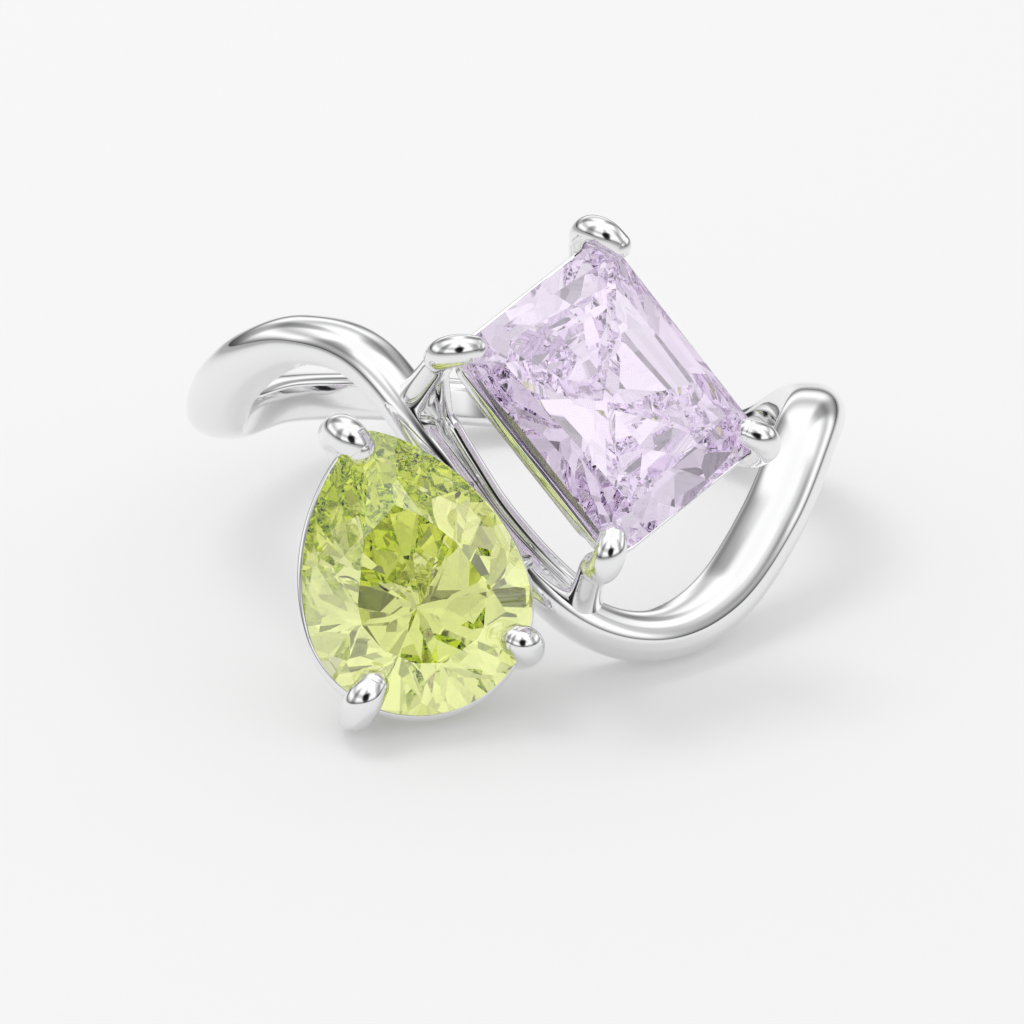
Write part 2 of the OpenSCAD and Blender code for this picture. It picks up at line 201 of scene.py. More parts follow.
# The radiant's claws: signs of the corner, aim, shift and reach, and the foot's angle and place across the
# band where the leg stands on it
RADIANT_CLAWS = (
    ((1, 1), 26, (0.02, -0.15), 1.0, None),
    ((-1, 1), 195, (-0.1, 0.02), 1.25, None),
    ((-1, -1), 236, (-0.12, -0.2), 1.15, (-21.6, 0.6)),
    ((1, -1), -50, (-0.12, -0.44), 1.1, (13, 0.55)),
)
RADIANT_CORNER = ((RADIANT_L - RADIANT_CUT) / 2, (RADIANT_W - RADIANT_CUT) / 2)
# Upper rails, under and inside the girdle by shares of their wire
UPPER_RAIL_DROP = 0.475
UPPER_RAIL_INSET = 0.25
UPPER_DROP = GIRDLE_T / 2 + RAIL_D * UPPER_RAIL_DROP
# Lower rails, by shares of the pavilion and of the girdle
PEAR_LOWER_DROP = 0.72 * PEAR_PAVILION
PEAR_LOWER_SIZE = 0.68
RADIANT_LOWER_DROP = 0.7 * RADIANT_PAVILION
RADIANT_LOWER_SIZE = 0.8
# Squareness of the radiant's upper rail, whose sides are filed flat
FLAT_RAIL = 9
# The radiant's rails turn its corners smoothly: step along the sides in millimetres, and smoothing passes
CORNER_STEP = 0.11
CORNER_PASSES = 3
FOOT_R = FINGER_R + BAND_T * 0.6
# Base rail from the last leg's foot up to the other's: angle, and place across the band
BASE_RAIL = ((13, 0.96), (8, 0.96), (2, 0.96), (-5, 0.98), (-11, 1.1), (-15, 1.28), (-18, 1.5))
BASE_RAIL_R = FINGER_R + BAND_T * 0.78
BASE_RAIL_STEPS = 12
# Point of a leg's path that its tie and the base rail meet
TIE_POINT = 22
TIE_SAG = 0.12
TIE_STEPS = 8
# Angle and place across of the posts' feet
PEAR_POSTS = ((-9, 0.25), (3, 0.5))
# Seats in the metal are cut for a stone larger by this factor
SEAT_GROWTH = 1.012
# After a cut, points this close in millimetres become one
WELD = 0.001
# Edges sharper than this stay crisp, in degrees
SHARP_ANGLE = 50

# Polish of the metal
METAL_COLOUR = (0.88, 0.88, 0.885, 1)
POLISH = {"Marks Scale": 1500, "Bright": 0.025, "Dull": 0.075, "Unevenness": 0.08}
MARKS_DETAIL = 6
# Part of the marks' noise that is spread from bright to dull
MARKS_FROM = 0.35
MARKS_TO = 0.7
WAVES_SCALE = 420
WAVES_DETAIL = 2
WAVES_HEIGHT = 0.0001

# Gems: the two tints that the surface's colour wanders between and how finely, the colour that light takes on
# along its path through the stone and how fast, and the girdle's colour, a near black that is painted shade
# of the gap between the stone and its rail
GEM_IOR = 2.4
YELLOW_GREEN = {
    "tints": ((0.96, 1.0, 0.84), (1.0, 1.0, 0.97)),
    "zone_scale": 350,
    "depth_colour": (0.9, 0.94, 0.2),
    "depth_density": 135,
    "girdle_painted_shade": (0.04, 0.045, 0.01),
}
LILAC = {
    "tints": ((0.92, 0.81, 0.97), (0.93, 0.86, 0.97)),
    "zone_scale": 300,
    "depth_colour": (0.7, 0.33, 0.9),
    "depth_density": 9,
    "girdle_painted_shade": (0.02, 0.015, 0.025),
}
# Detail of the growth zones' noise, and the values where the first tint ends and the second begins
ZONE_DETAIL = 1
ZONE_EDGES = (0.35, 0.65)
# Roughness of the girdle, where the rest of a stone has none
GIRDLE_FROST = 0.15

# Floor. It is a lit table, so its shadows stay pale.
FLOOR_HALF_WIDTH = 0.6
FLOOR_ROUGHNESS = 0.9
FLOOR_SHADE = 0.55
FLOOR_GLOW = 0.275
# Start and end of the falloff in metres, and what is left of the light
FLOOR_FALLOFF = (0.012, 0.11, 0.5)

# Light, with places and sizes in metres
OVERHEAD_PLACE = (-0.1, 0.08, 0.34)
OVERHEAD_AIM = (0, -0.005, 0)
OVERHEAD_SIZE = (0.16, 0.16)
OVERHEAD_POWER = 0.32
DOME_STRENGTH = 0.97
# Times that light may bounce between facets
BOUNCES = 32
# Brightness of the tent's lightest bands, and the walls' shades as shares of it, from under the horizon to
# overhead. A shade's place is taken over the sine of the height, from the sine where the walls start.
TENT_PEAK = 1.4
TENT_FROM = -0.1
TENT_SHADES = (
    (0.0, 0.36),
    (0.07, 0.13),
    (0.12, 0.14),
    (0.22, 0.68),
    (0.36, 1.0),
    (0.5, 0.43),
    (0.62, 0.5),
    (0.78, 1.0),
    (1.0, 0.77),
)
# Folds of the walls round the tent, their turn in radians, the shade in a fold, the part of its sine that the
# fold takes, and the heights where the folds fade away
FOLDS = 5.0
FOLD_TURN = 0.35
FOLD_DEPTH = 0.4
FOLD_SINE = (-1, 0.2)
FOLD_FADE = (0.72, 0.97)
# Stones take the walls' shade only in part, and a plain white for the rest
STONE_CALM = 0.55
STONE_WALLS = (1.02, 1.02, 1.02, 1)
WHITE = (1, 1, 1, 1)
# Patches of the tent: reach in degrees, width of the soft edge, and the value away from them and in them.
# The opening, on the camera's side, darkens what metal and stones show. The softbox on the right adds to what
# is mirrored, and the flag takes the glare off the pear's table.
OPENING_WAY = (0.0, -0.918, 0.396)
METAL_OPENING = (12, 13, 1, 0.04)
STONE_OPENING = (9, 12, 1, 0.24)
FLAG_WAY = (0.276, -0.759, 0.589)
FLAG = (4, 7, 1, 0.4)
SOFTBOX_WAY = (0.585, -0.449, 0.676)
SOFTBOX = (10, 20, 0, 0.45)

# Camera, in degrees and millimetres
CAMERA_ELEVATION = 23.301
CAMERA_AZIMUTH = -0.142
CAMERA_ROLL = 2.174
CAMERA_DISTANCE = 260.0
CAMERA_AIM = (-0.18, -1.006, -2.402)
# Nearest that the camera sees, in metres
CAMERA_NEAR = 0.01
# Pixels of the 1024 px photograph in one radian at its middle
PIXELS_PER_RADIAN = 8231
PHOTO_SIZE = 1024
SENSOR = 36


# Vectors and the band's path
def unit(v):
    return np.asarray(v, float) / np.linalg.norm(v)


def direction(degrees):
    """Unit vector in a plane, at an angle from its first axis."""
    a = math.radians(degrees)
    return np.array([math.cos(a), math.sin(a)])


def signed_power(v, p):
    return math.copysign(abs(v) ** p, v)


def rest_matrix():
    """Turn from the ring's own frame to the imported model's, from the finger hole's axis in that model."""
    mounts = {m["name"]: m for m in frame["record"]["mounts"]}
    ax, ay, az = unit(mounts["finger"]["axis"])
    side = math.sqrt(1 - ax * ax)
    cos_tilt, sin_tilt = az / side, ay / side
    return np.array([
        [side, 0, ax],
        [-sin_tilt * ax, cos_tilt, sin_tilt * side],
        [-cos_tilt * ax, -sin_tilt, cos_tilt * side],
    ])


def wave_row(i):
    """A row of the wave, which repeats before its first row and after its last."""
    last = len(WAVE) - 1
    turn = -360 if i < 0 else 360 if i > last else 0
    row = WAVE[i % last] if turn else WAVE[i]
    return row[0] + turn, row[1], row[2]


def wave_at(angle, column):
    """A column of the wave at any angle, by a cubic through the rows beside it."""
    angle = (angle + 180) % 360 - 180
    i = max(k for k in range(len(WAVE) - 1) if WAVE[k][0] <= angle)
    rows = [wave_row(i + k) for k in (-1, 0, 1, 2)]
    x = [r[0] for r in rows]
    v = [r[column] for r in rows]
    span = x[2] - x[1]
    t = (angle - x[1]) / span
    m1 = (v[2] - v[0]) / (x[2] - x[0]) * span
    m2 = (v[3] - v[1]) / (x[3] - x[1]) * span
    return (
        (2 * t**3 - 3 * t**2 + 1) * v[1] + (t**3 - 2 * t**2 + t) * m1
        + (3 * t**2 - 2 * t**3) * v[2] + (t**3 - t**2) * m2
    )


def out_at(angle):
    """Direction out of the finger, where 0 is the side of the stones."""
    a = math.radians(angle)
    return np.array([math.sin(a), -math.cos(a), 0.0])


def path_at(angle, r):
    return r * out_at(angle) + np.array([0, 0, SWEEP_H * wave_at(angle, 1)])


def across_at(angle):
    """Direction across the band, towards the radiant stone's side."""
    along = unit(path_at(angle + PATH_STEP, BAND_MID_R) - path_at(angle - PATH_STEP, BAND_MID_R))
    return unit(np.cross(out_at(angle), along))


def band_point(angle, r, across):
    """A point of the band, with its place across as a share of the half width."""
    half_w = BAND_W * wave_at(angle, 2) / 2
    return path_at(angle, r) + across_at(angle) * across * half_w


def seat(angle, r, height, side_lean, up_lean, turn):
    """A stone's frame: its middle, two directions in the girdle plane, and the way its table faces."""
    lean = direction(side_lean)
    up = direction(up_lean)
    right = np.array([lean[0], lean[1], 0])
    face = np.array([lean[1] * up[0], -lean[0] * up[0], up[1]])
    upward = np.cross(face, right)
    c, s = direction(turn)
    return (
        r * out_at(angle) + np.array([0, 0, height]),
        right * c + upward * s,
        upward * c - right * s,
        face,
    )


def from_seat(s, p):
    """A point in a stone's frame, in the ring's frame."""
    return s[0] + s[1] * p[0] + s[2] * p[1] + s[3] * p[2]


REST = rest_matrix()
PEAR_SEAT = seat(*PEAR_PLACE)
RADIANT_SEAT = seat(*RADIANT_PLACE)


# Meshes
def shape_mesh(name, points, faces):
    mesh = bpy.data.meshes.new(name)
    mesh.from_pydata([tuple(p) for p in points], [], faces)
    bm = bmesh.new()
    bm.from_mesh(mesh)
    bmesh.ops.recalc_face_normals(bm, faces=bm.faces[:])
    bm.to_mesh(mesh)
    bm.free()
    return mesh


def close_slivers(mesh):
    """Points that all but touch made one, and the faces that this leaves without area taken away."""
    bm = bmesh.new()
    bm.from_mesh(mesh)
    bmesh.ops.remove_doubles(bm, verts=bm.verts[:], dist=WELD)
    bmesh.ops.dissolve_degenerate(bm, edges=bm.edges[:], dist=WELD)
    bm.to_mesh(mesh)
    bm.free()


def cut_away(mesh, cutter):
    """What is left of a mesh outside the cutter."""
    body = bpy.data.objects.new("body", mesh)
    bpy.context.scene.collection.objects.link(body)
    cut = body.modifiers.new("cut", "BOOLEAN")
    cut.operation = "DIFFERENCE"
    cut.solver = "MANIFOLD"
    cut.object = cutter
    evaluated = body.evaluated_get(bpy.context.evaluated_depsgraph_get())
    left = bpy.data.meshes.new_from_object(evaluated)
    bpy.data.objects.remove(body)
    close_slivers(left)
    return left


def new_piece(name, points, faces, slot, material, smooth=True, cutter=None):
    """A mesh piece from points in the ring's frame, laid down and riding on the ring."""
    mesh = shape_mesh(name, points, faces)
    if cutter:
        mesh = cut_away(mesh, cutter)
        mesh.name = name
    mesh.transform((Matrix(REST.tolist()) * MM).to_4x4())
    mesh.materials.clear()
    mesh.materials.append(material)
    mesh.polygons.foreach_set("use_smooth", [smooth] * len(mesh.polygons))
    if smooth:
        mesh.set_sharp_from_angle(angle=math.radians(SHARP_ANGLE))
    mesh.update()
    piece = bpy.data.objects.new(name, mesh)
    bpy.context.scene.collection.objects.link(piece)
    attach(piece, "root")
    if slot == "white_metal":
        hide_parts("band_and_settings")
    return piece


def skin(rings, closed=False):
    """Points and faces through rings of as many points each, closed on itself or with flat ends."""
    m, n = len(rings), len(rings[0])
    faces = []
    for i in range(m if closed else m - 1):
        j = (i + 1) % m
        for k in range(n):
            beside = (k + 1) % n
            faces.append((i * n + k, i * n + beside, j * n + beside, j * n + k))
    if not closed:
        faces.append(tuple(range(n - 1, -1, -1)))
        faces.append(tuple((m - 1) * n + k for k in range(n)))
    return np.concatenate(rings), faces


def curve(points, steps):
    """Smooth curve through points of any dimension, with as many steps between each two."""
    p = [np.asarray(q, float) for q in points]
    out = []
    for i in range(len(p) - 1):
        a, b = p[max(i - 1, 0)], p[i]
        c, d = p[i + 1], p[min(i + 2, len(p) - 1)]
        for k in range(steps):
            t = k / steps
            out.append(0.5 * (
                2 * b + (c - a) * t + (2 * a - 5 * b + 4 * c - d) * t**2
                + (3 * b - a - 3 * c + d) * t**3
            ))
    out.append(p[-1])
    return np.array(out)


def section(centre, u, v, r, squareness=2):
    """A wire's section in the plane of two directions, round or squarer."""
    power = 2 / squareness
    return np.array([
        centre + (u * signed_power(c, power) + v * signed_power(s, power)) * r
        for c, s in (direction(360 * (k + 0.5) / WIRE_SIDES) for k in range(WIRE_SIDES))
    ])


def wire_ring(centre, tangent, r, flat_to):
    u = unit(np.cross(flat_to, tangent))
    return section(centre, u, np.cross(tangent, u), r)


def round_end(centre, tangent, way, r, flat_to):
    """Rings of a wire's round end, from the wire outwards."""
    rings = []
    for k in range(1, CAP_RINGS + 1):
        a = math.radians(90 * k / (CAP_RINGS + CAP_SHORT))
        place = centre + way * tangent * r * math.sin(a)
        rings.append(wire_ring(place, tangent, r * math.cos(a), flat_to))
    return rings


def wire(points, radii, flat_to):
    """Rings of a round wire with round ends, along points near a plane that flat_to is across."""
    last = len(points) - 1
    tangents = [unit(points[min(i + 1, last)] - points[max(i - 1, 0)]) for i in range(last + 1)]
    start = round_end(points[0], tangents[0], -1, radii[0], flat_to)
    middle = [wire_ring(p, t, r, flat_to) for p, t, r in zip(points, tangents, radii)]
    end = round_end(points[last], tangents[last], 1, radii[last], flat_to)
    return start[::-1] + middle + end


def loop_wire(points, r, flat_to, squareness=2):
    """Rings of a closed wire in a plane whose normal is flat_to."""
    n = len(points)
    rings = []
    for i in range(n):
        t = unit(points[(i + 1) % n] - points[i - 1])
        rings.append(section(points[i], unit(np.cross(flat_to, t)), flat_to, r, squareness))
    return rings


# Outlines of the stones, counterclockwise in the girdle plane
def pear_point(degrees):
    """The pear's outline at an angle from its right side, with its tip at 90 degrees."""
    a = math.radians(degrees)
    c, s = math.cos(a), math.sin(a)
    if s < 0:
        return np.array([PEAR_W / 2 * c, PEAR_END * s])
    return np.array([math.copysign(PEAR_W / 2 * abs(c) ** (2 * PEAR_FLANK), c), PEAR_TOP * s])


def radiant_outline():
    a, b, c = RADIANT_L / 2, RADIANT_W / 2, RADIANT_CUT
    return [
        np.array(p) for p in (
            (a, b - c), (a - c, b), (c - a, b), (-a, b - c),
            (-a, c - b), (c - a, -b), (a - c, -b), (a, c - b),
        )
    ]


def radiant_inner_outline():
    power = 2 / RADIANT_INNER_SQUARENESS
    return [
        np.array([RADIANT_L / 2 * signed_power(c, power), RADIANT_W / 2 * signed_power(s, power)])
        for c, s in (direction(360 * k / RADIANT_INNER_POINTS) for k in range(RADIANT_INNER_POINTS))
    ]


def rounded(outline, step, passes):
    """An outline's corners rounded, by smoothing points a step apart along its sides."""
    n = len(outline)
    samples = []
    for i in range(n):
        a, b = outline[i], outline[(i + 1) % n]
        count = max(round(np.linalg.norm(b - a) / step), 2)
        samples += [a + (b - a) * k / count for k in range(count)]
    p = np.array(samples)
    for _ in range(passes):
        p = (np.roll(p, 1, axis=0) + 2 * p + np.roll(p, -1, axis=0)) / 4
    return list(p)


PEAR_OUTLINE = [pear_point(90 + 360 * k / PEAR_POINTS) for k in range(PEAR_POINTS)]


# Metal
def soft_floor(r, floor, radius):
    """r, kept above floor with a rounded corner."""
    return floor + 0.5 * ((r - floor) + math.sqrt((r - floor) ** 2 + radius**2))


def band_ring(angle):
    """The band's section at an angle, trimmed by the finger hole."""
    half_t = (BAND_T + BAND_SINK) / 2
    half_w = BAND_W * wave_at(angle, 2) / 2
    centre = path_at(angle, BAND_MID_R)
    out, across = out_at(angle), across_at(angle)
    ring = []
    for k in range(BAND_SIDES):
        c, s = direction(360 * (k + 0.5) / BAND_SIDES)
        power = 2 / (OUTER_SQUARENESS if c > 0 else INNER_SQUARENESS)
        x = half_t * signed_power(c, power)
        y = half_w * signed_power(s, power)
        p = centre + out * x - across * y
        r = math.hypot(p[0], p[1])
        p[:2] *= soft_floor(r, FINGER_R, INNER_EDGE) / r
        ring.append(p)
    return np.array(ring)


def band(material):
    rings = [band_ring(-180 + 360 * i / BAND_RINGS) for i in range(BAND_RINGS)]
    points, faces = skin(rings, closed=True)
    return new_piece("band", points, faces, "white_metal", material)


def metal_wire(name, points, d, flat_to, material, cutter=None):
    points, faces = skin(wire(np.asarray(points), [d / 2] * len(points), flat_to))
    return new_piece(name, points, faces, "white_metal", material, cutter=cutter)


def metal_loop(name, points, s, squareness, material, cutter):
    points, faces = skin(loop_wire(points, RAIL_D / 2, s[3], squareness), closed=True)
    return new_piece(name, points, faces, "white_metal", material, cutter=cutter)


def claw_path(s, edge, aim, shift, reach, d, foot):
    """Centre line of a claw over the girdle, whose leg runs down to a foot."""
    away = direction(aim)
    place = np.array(edge) + np.array(shift) * d
    points = [foot]
    for out, up, _ in CLAW:
        flat = place + away * out * reach * d
        points.append(from_seat(s, (flat[0], flat[1], up * d)))
    return curve(points, CLAW_STEPS)


def claw_radii(d, flare):
    """Radii of a claw, whose foot widens by a share where it is soldered down."""
    thick = [[LEG_THICK]] + [[c[2]] for c in CLAW]
    radii = curve(thick, CLAW_STEPS)[:, 0] * d / 2
    spread = np.clip(1 - np.arange(len(radii)) / FLARE_STEPS, 0, 1)
    return radii * (1 + flare * spread**2)


def claw(name, s, path, aim, d, flare, material, cutter):
    c, si = direction(aim)
    points, faces = skin(wire(path, claw_radii(d, flare), s[2] * c - s[1] * si))
    return new_piece(name, points, faces, "white_metal", material, cutter=cutter)


def upper_size(half_w):
    """Size of an upper rail as a share of the girdle."""
    return 1 - RAIL_D * UPPER_RAIL_INSET / half_w


def rail_points(s, outline, size, drop):
    return np.array([from_seat(s, (p[0] * size, p[1] * size, -drop)) for p in outline])


def pear_setting(material, cutter):
    s = PEAR_SEAT
    for i, (place, aim, shift, reach) in enumerate(PEAR_CLAWS):
        edge = pear_point(place)
        foot = from_seat(s, (edge[0] * PEAR_LOWER_SIZE, edge[1] * PEAR_LOWER_SIZE, -PEAR_LOWER_DROP))
        path = claw_path(s, edge, aim, shift, reach, PEAR_CLAW_D, foot)
        claw(f"pear_claw_{i + 1}", s, path, aim, PEAR_CLAW_D, 0, material, cutter)
    upper = rail_points(s, PEAR_OUTLINE, upper_size(PEAR_W / 2), UPPER_DROP)
    metal_loop("pear_upper_rail", upper, s, 2, material, cutter)
    lower = rail_points(s, PEAR_OUTLINE, PEAR_LOWER_SIZE, PEAR_LOWER_DROP)
    metal_loop("pear_lower_rail", lower, s, 2, material, cutter)
    for i, (angle, across) in enumerate(PEAR_POSTS):
        foot = band_point(angle, FOOT_R, across)
        head = min(upper, key=lambda p: np.linalg.norm(p - foot))
        metal_wire(f"pear_post_{i + 1}", (foot, head), RAIL_D, s[2], material, cutter)


def radiant_foot(edge, stand):
    """Foot of a claw's leg: on the band where it stands there, or else on the lower rail."""
    if stand:
        return band_point(stand[0], FOOT_R, stand[1])
    p = edge * RADIANT_LOWER_SIZE
    return from_seat(RADIANT_SEAT, (p[0], p[1], -RADIANT_LOWER_DROP))


def radiant_tie(name, edge, joint, material, cutter):
    """A short sagging wire from the upper rail's corner to a leg that passes outside it."""
    s = RADIANT_SEAT
    corner = from_seat(s, (*(edge * upper_size(RADIANT_W / 2)), -UPPER_DROP))
    path = curve((corner, (corner + joint) / 2 - s[3] * TIE_SAG, joint), TIE_STEPS)
    metal_wire(name, path, RAIL_D, s[3], material, cutter)


def base_rail(joint, material):
    """The rail along the band's edge, up to the leg that it joins."""
    along = [band_point(angle, BASE_RAIL_R, across) for angle, across in BASE_RAIL[::-1]]
    metal_wire("base_rail", curve([joint] + along, BASE_RAIL_STEPS), RAIL_D, out_at(0), material)


def radiant_setting(material, cutter):
    s = RADIANT_SEAT
    outline = rounded(radiant_outline(), CORNER_STEP, CORNER_PASSES)
    upper = rail_points(s, outline, upper_size(RADIANT_W / 2), UPPER_DROP)
    metal_loop("radiant_upper_rail", upper, s, FLAT_RAIL, material, cutter)
    lower = rail_points(s, outline, RADIANT_LOWER_SIZE, RADIANT_LOWER_DROP)
    metal_loop("radiant_lower_rail", lower, s, 2, material, cutter)
    joints = []
    for i, (signs, aim, shift, reach, stand) in enumerate(RADIANT_CLAWS):
        edge = np.array(RADIANT_CORNER) * signs
        path = claw_path(s, edge, aim, shift, reach, RADIANT_CLAW_D, radiant_foot(edge, stand))
        flare = BAND_FLARE if stand else 0
        claw(f"radiant_claw_{i + 1}", s, path, aim, RADIANT_CLAW_D, flare, material, cutter)
        if stand:
            joints.append(path[TIE_POINT])
            radiant_tie(f"radiant_tie_{i + 1}", edge, path[TIE_POINT], material, cutter)
    base_rail(joints[0], material)


# Stones
def ways(count, turn, way_at):
    """Directions out of a stone for as many facets, the first turned by a share of their spacing."""
    return [way_at(90 + 360 * (k + turn) / count) for k in range(count)]


def pear_way(degrees):
    """Direction out of the pear's outline at an angle from its right side."""
    d = pear_point(degrees + OUTLINE_STEP) - pear_point(degrees - OUTLINE_STEP)
    return unit((d[1], -d[0]))


def height_at(share, above, crown, pavilion):
    """Height over the girdle's middle, from a share of the crown or, if negative, of the pavilion."""
    if share > 0 or (share == 0 and above):
        return GIRDLE_T / 2 + share * crown
    return -GIRDLE_T / 2 + share * pavilion


def facet_plane(outline, away, start, end, turn, slope):
    """A point and the normal of a facet that touches the outline scaled to one size at one height, and to
    another size at another, turned by some degrees and with its slope changed by a factor."""
    c, s = direction(turn)
    away = np.array([away[0] * c - away[1] * s, away[0] * s + away[1] * c])
    reach = max(p @ away for p in outline)
    run = reach * (start[0] - end[0]) * slope
    rise = end[1] - start[1]
    normal = np.append(away * abs(rise), math.copysign(run, rise))
    return np.append(away * reach * start[0], start[1]), unit(normal)


def facet_planes(outline, inner, crown, pavilion, rows, way_at, hand):
    """Planes of all the rows of facets, of which the rows nearer the middle follow the inner outline."""
    most_turn, most_slope, seed = hand
    dice = random.Random(seed)
    planes = []
    for count, turn, size, rise, next_size, next_rise in rows:
        above = next_rise > rise
        start = (size, height_at(rise, above, crown, pavilion))
        end = (next_size, height_at(next_rise, above, crown, pavilion))
        followed = outline if size > INNER_FROM else inner
        for way in ways(count, turn, way_at):
            by_hand = dice.uniform(-most_turn, most_turn)
            slope = 1 + dice.uniform(-most_slope, most_slope)
            planes.append(facet_plane(followed, way, start, end, by_hand, slope))
    return planes


def prism(outline, low, high):
    """A block on an outline between two heights, as an editable mesh."""
    bm = bmesh.new()
    n = len(outline)
    bottom = [bm.verts.new((p[0], p[1], low)) for p in outline]
    top = [bm.verts.new((p[0], p[1], high)) for p in outline]
    bm.faces.new(bottom[::-1])
    bm.faces.new(top)
    for k in range(n):
        bm.faces.new((bottom[k], bottom[(k + 1) % n], top[(k + 1) % n], top[k]))
    return bm


def grind(bm, point, normal):
    """Takes away what lies beyond a plane, and closes the cut with a facet."""
    cut = bmesh.ops.bisect_plane(
        bm, geom=bm.verts[:] + bm.edges[:] + bm.faces[:], dist=CUT_DIST,
        plane_co=point, plane_no=normal, clear_outer=True,
    )
    rim = [e for e in cut["geom_cut"] if isinstance(e, bmesh.types.BMEdge)]
    if len(rim) > 2:
        bmesh.ops.contextual_create(bm, geom=rim)


def cut_stone(outline, inner, crown, pavilion, rows, way_at, hand):
    """A prism whose top is the table, ground by rows of facets: its points and faces, and which faces are the
    girdle's."""
    planes = facet_planes(outline, inner, crown, pavilion, rows, way_at, hand)
    edge = GIRDLE_T / 2
    bm = prism(outline, -edge - pavilion, edge + crown)
    for point, normal in planes:
        grind(bm, point, normal)
    bmesh.ops.recalc_face_normals(bm, faces=bm.faces[:])
    bm.verts.index_update()
    points = [v.co.copy() for v in bm.verts]
    faces = [tuple(v.index for v in f.verts) for f in bm.faces]
    girdle = [float(abs(f.normal.z) < UPRIGHT) for f in bm.faces]
    bm.free()
    return points, faces, girdle


def pear_shape():
    outline = PEAR_OUTLINE[::2]
    return cut_stone(outline, outline, PEAR_CROWN, PEAR_PAVILION, PEAR_FACETS, pear_way, PEAR_HAND)


def radiant_shape():
    return cut_stone(
        radiant_outline(), radiant_inner_outline(),
        RADIANT_CROWN, RADIANT_PAVILION, RADIANT_FACETS, direction, RADIANT_HAND,
    )


def seat_cutter(name, s, shape):
    """The stone grown a little, to cut its seat into the metal."""
    points, faces, _ = shape
    placed = [from_seat(s, p * SEAT_GROWTH) for p in points]
    cutter = bpy.data.objects.new(name, shape_mesh(name, placed, faces))
    bpy.context.scene.collection.objects.link(cutter)
    return cutter


def stone_piece(name, s, shape, slot, material, node):
    """A cut stone in its seat, whose girdle is marked for its material."""
    points, faces, girdle = shape
    placed = [from_seat(s, p) for p in points]
    piece = new_piece(name, placed, faces, slot, material, smooth=False)
    mark = piece.data.attributes.new("girdle", "FLOAT", "FACE")
    mark.data.foreach_set("value", girdle)
    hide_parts(node)
    return piece


# Nodes
def feed(tree, value, socket):
    """Links an output to a socket, or sets the socket to a plain value."""
    if hasattr(value, "links"):
        tree.links.new(value, socket)
    else:
        socket.default_value = value


def math_node(tree, operation, a, b):
    node = tree.nodes.new("ShaderNodeMath")
    node.operation = operation
    feed(tree, a, node.inputs[0])
    feed(tree, b, node.inputs[1])
    return node.outputs["Value"]


def mixed(tree, blend, factor, a, b):
    node = tree.nodes.new("ShaderNodeMix")
    node.data_type = "RGBA"
    node.blend_type = blend
    feed(tree, factor, node.inputs["Factor"])
    feed(tree, a, node.inputs["A"])
    feed(tree, b, node.inputs["B"])
    return node.outputs["Result"]


def map_range(tree, value, start=0.0, end=1.0, low=0.0, high=1.0, easing="LINEAR"):
    """A value taken from one range, start to end, to another, low to high."""
    node = tree.nodes.new("ShaderNodeMapRange")
    node.interpolation_type = easing
    feed(tree, value, node.inputs["Value"])
    feed(tree, start, node.inputs["From Min"])
    feed(tree, end, node.inputs["From Max"])
    feed(tree, low, node.inputs["To Min"])
    feed(tree, high, node.inputs["To Max"])
    return node.outputs["Result"]


def noise(tree, scale, detail):
    """Noise over the ring's own coordinates."""
    place = tree.nodes.new("ShaderNodeTexCoord")
    node = tree.nodes.new("ShaderNodeTexNoise")
    feed(tree, scale, node.inputs["Scale"])
    feed(tree, detail, node.inputs["Detail"])
    feed(tree, place.outputs["Object"], node.inputs["Vector"])
    return node.outputs["Fac"]


# Materials
def new_material(name):
    material = bpy.data.materials.new(name)
    material.use_nodes = True
    tree = material.node_tree
    return material, tree, tree.nodes["Principled BSDF"], tree.nodes["Material Output"]


def hand_polish():
    """Group for polished metal: fine rubbing marks, and a surface that isn't quite even."""
    group = bpy.data.node_groups.new("hand_polish", "ShaderNodeTree")
    for name in ("Marks Scale", "Dull", "Bright", "Unevenness"):
        socket = group.interface.new_socket(name, in_out="INPUT", socket_type="NodeSocketFloat")
        socket.min_value = 0.0
    group.interface.new_socket("Roughness", in_out="OUTPUT", socket_type="NodeSocketFloat")
    group.interface.new_socket("Normal", in_out="OUTPUT", socket_type="NodeSocketVector")
    given = group.nodes.new("NodeGroupInput").outputs
    out = group.nodes.new("NodeGroupOutput")
    marks = noise(group, given["Marks Scale"], MARKS_DETAIL)
    roughness = map_range(group, marks, MARKS_FROM, MARKS_TO, given["Bright"], given["Dull"])
    feed(group, roughness, out.inputs["Roughness"])
    bump = group.nodes.new("ShaderNodeBump")
    feed(group, WAVES_HEIGHT, bump.inputs["Distance"])
    feed(group, given["Unevenness"], bump.inputs["Strength"])
    feed(group, noise(group, WAVES_SCALE, WAVES_DETAIL), bump.inputs["Height"])
    feed(group, bump.outputs["Normal"], out.inputs["Normal"])
    return group


def polished_metal():
    material, tree, shader, _ = new_material("polished_white_metal")
    shader.inputs["Metallic"].default_value = 1.0
    shader.inputs["Base Color"].default_value = METAL_COLOUR
    polish = tree.nodes.new("ShaderNodeGroup")
    polish.node_tree = hand_polish()
    for name, value in POLISH.items():
        polish.inputs[name].default_value = value
    for name in ("Roughness", "Normal"):
        feed(tree, polish.outputs[name], shader.inputs[name])
    return material


def girdle_mask(tree):
    """1 on the girdle seen from outside, and 0 elsewhere: where the girdle's frost and its painted shade go.
    """
    girdle = tree.nodes.new("ShaderNodeAttribute")
    girdle.attribute_name = "girdle"
    seen_from = tree.nodes.new("ShaderNodeNewGeometry")
    outside = math_node(tree, "SUBTRACT", girdle.outputs["Fac"], seen_from.outputs["Backfacing"])
    outside.node.use_clamp = True
    return outside


